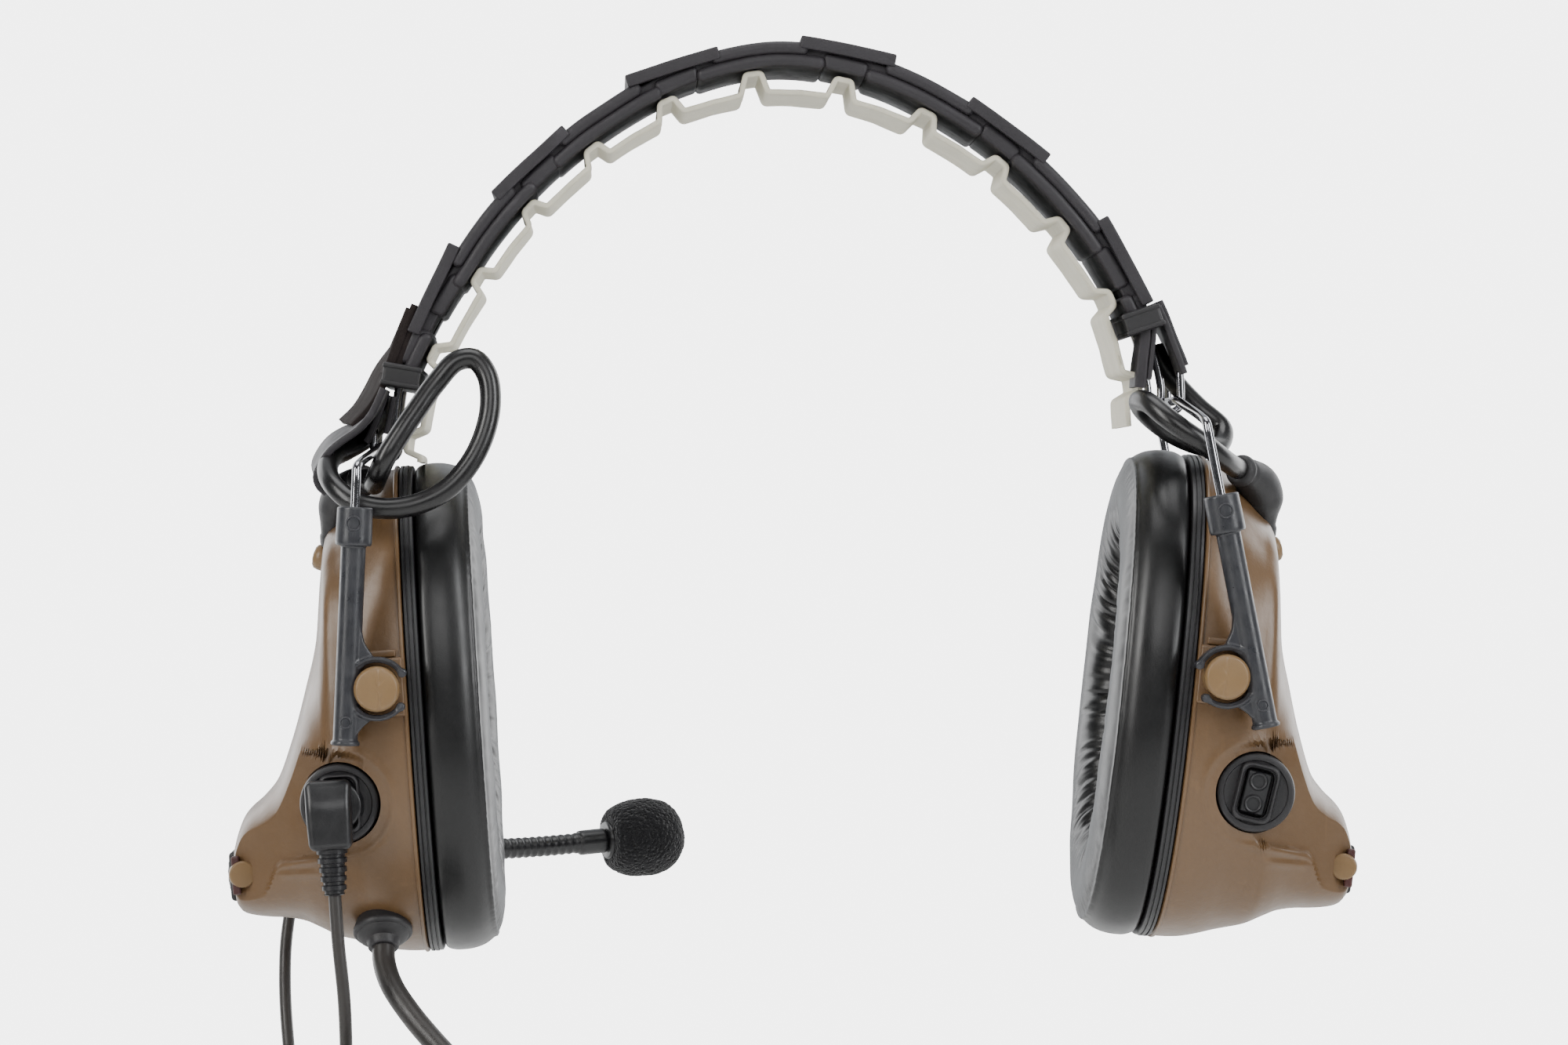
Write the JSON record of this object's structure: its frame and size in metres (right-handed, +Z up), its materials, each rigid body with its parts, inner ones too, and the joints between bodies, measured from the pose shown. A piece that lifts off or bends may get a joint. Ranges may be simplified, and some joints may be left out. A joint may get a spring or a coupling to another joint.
{
  "type": "communications headset",
  "caption": "Over-ear communications headset: wire-frame headband in a ribbed rubber cover, sliding yokes, tilting ear cups, boom microphone, cross-over cable and radio lead.",
  "frame": {"origin": "centre of the comfort pad's underside at the top of the head", "axes": "+X towards the wearer's cup with the socket block (seen on the right), +Y towards the far side that the boom reaches to, +Z up"},
  "size_m": [0.2485, 0.1961, 0.3041],
  "materials": {
    "cover_rubber": "satin, softly ribbed moulded cover",
    "steel": "polished spring wire",
    "cable_jacket": "satin extruded jacket",
    "soft_rubber": "matt moulded rubber",
    "pad_sheet": "matt cream moulded elastomer sheet",
    "slider_plastic": "satin moulded plastic with slight mottling",
    "shell_plastic": "fine texture moulded tan plastic",
    "black_plastic": "fine texture moulded black plastic",
    "cushion_vinyl": "glossy soft vinyl skin",
    "foam": "open cell foam",
    "circuit_board": "lacquered laminate",
    "battery_can": "satin metal can",
    "pin_plastic": "satin moulded tan plastic"
  },
  "bodies": {
    "headband": {"headband_cover": "cover_rubber", "bow_wire_rear": "steel", "bow_wire_front": "steel", "crossover_cable_band": "cable_jacket", "keeper_left": "soft_rubber", "keeper_right": "soft_rubber", "cover_leaf_left": "cover_rubber", "cover_leaf_right": "cover_rubber", "comfort_pad": "pad_sheet", "crossover_loop_left": "cable_jacket", "crossover_loop_right": "cable_jacket"},
    "stirrup_left": {"stirrup_wire_left": "steel"},
    "stirrup_right": {"stirrup_wire_right": "steel"},
    "slider_left": {"slider_rear_left": "slider_plastic", "slider_front_left": "slider_plastic"},
    "slider_right": {"slider_rear_right": "slider_plastic", "slider_front_right": "slider_plastic"},
    "cup_left": {"shell_left": "shell_plastic", "baffle_plate_left": "black_plastic", "ear_cushion_left": "cushion_vinyl", "speaker_foam_left": "foam", "speaker_left": "black_plastic", "circuit_board_left": "circuit_board", "battery_left": "battery_can", "pivot_pin_rear_left": "pin_plastic", "pivot_pin_front_left": "pin_plastic", "socket_seal_left": "soft_rubber", "cable_boot_left": "soft_rubber", "outside_microphone_left": "shell_plastic", "boom_clevis": "black_plastic", "microphone_plug": "black_plastic", "downlead_gland": "soft_rubber", "microphone_cable": "cable_jacket", "downlead": "cable_jacket", "downlead_coil": "cable_jacket", "coil_tie": "soft_rubber", "downlead_tail": "cable_jacket", "radio_plug": "black_plastic"},
    "cup_right": {"shell_right": "shell_plastic", "baffle_plate_right": "black_plastic", "ear_cushion_right": "cushion_vinyl", "speaker_foam_right": "foam", "speaker_right": "black_plastic", "circuit_board_right": "circuit_board", "battery_right": "battery_can", "pivot_pin_rear_right": "pin_plastic", "pivot_pin_front_right": "pin_plastic", "socket_seal_right": "soft_rubber", "cable_boot_right": "soft_rubber", "outside_microphone_right": "shell_plastic", "socket_block_right": "black_plastic"},
    "boom": {"boom_arm": "black_plastic", "boom_microphone": "black_plastic", "windscreen": "foam"},
    "battery_cap_left": {"battery_cap_left": "black_plastic"},
    "battery_cap_right": {"battery_cap_right": "black_plastic"},
    "button_rear_left": {"button_rear_left": "soft_rubber"},
    "button_front_left": {"button_front_left": "soft_rubber"},
    "button_rear_right": {"button_rear_right": "soft_rubber"},
    "button_front_right": {"button_front_right": "soft_rubber"}
  },
  "joints": [
    {"name": "fold_left", "type": "hinge", "parent": "headband", "child": "stirrup_left", "pos_m": [-0.0907, 0, -0.0777], "axis": [0, 1, 0], "range_deg": [-45, 0], "deforming": ["crossover_loop_left", "comfort_pad"]},
    {"name": "fold_right", "type": "hinge", "parent": "headband", "child": "stirrup_right", "pos_m": [0.083, 0, -0.0675], "axis": [0, 1, 0], "range_deg": [0, 45], "deforming": ["crossover_loop_right", "comfort_pad"]},
    {"name": "height_left", "type": "slide", "parent": "stirrup_left", "child": "slider_left", "axis": [0.0419, 0, 0.9991], "range_m": [-0.022, 0], "deforming": ["crossover_loop_left"]},
    {"name": "height_right", "type": "slide", "parent": "stirrup_right", "child": "slider_right", "axis": [0.1908, 0, -0.9816], "range_m": [-0.006, 0.016], "deforming": ["crossover_loop_right"]},
    {"name": "tilt_left", "type": "hinge", "parent": "slider_left", "child": "cup_left", "pos_m": [-0.0908, 0, -0.1298], "axis": [0, 1, 0], "range_deg": [-12, 9], "deforming": ["crossover_loop_left"]},
    {"name": "tilt_right", "type": "hinge", "parent": "slider_right", "child": "cup_right", "pos_m": [0.0915, 0, -0.1274], "axis": [0, 1, 0], "range_deg": [-9, 12], "deforming": ["crossover_loop_right"]},
    {"name": "boom_swing", "type": "hinge", "parent": "cup_left", "child": "boom", "pos_m": [-0.09527, 0.0499, -0.16607], "axis": [0.9979, 0, 0.0645], "range_deg": [-20, 60]},
    {"name": "battery_cap_turn_left", "type": "hinge", "parent": "cup_left", "child": "battery_cap_left", "pos_m": [-0.11067, 0.034, -0.16806], "axis": [0, 1, 0], "range_deg": [0, 90]},
    {"name": "battery_cap_turn_right", "type": "hinge", "parent": "cup_right", "child": "battery_cap_right", "pos_m": [0.10975, 0.034, -0.16646], "axis": [0, 1, 0], "range_deg": [0, 90]},
    {"name": "press_rear_left", "type": "slide", "parent": "cup_left", "child": "button_rear_left", "axis": [0.9979, 0, 0.0645], "range_m": [0, 0.0009], "stiffness_N_per_m": 300},
    {"name": "press_front_left", "type": "slide", "parent": "cup_left", "child": "button_front_left", "axis": [0.9979, 0, 0.0645], "range_m": [0, 0.0009], "stiffness_N_per_m": 300},
    {"name": "press_rear_right", "type": "slide", "parent": "cup_right", "child": "button_rear_right", "axis": [-0.9943, 0, 0.1063], "range_m": [0, 0.0009], "stiffness_N_per_m": 300},
    {"name": "press_front_right", "type": "slide", "parent": "cup_right", "child": "button_front_right", "axis": [-0.9943, 0, 0.1063], "range_m": [0, 0.0009], "stiffness_N_per_m": 300}
  ]
}
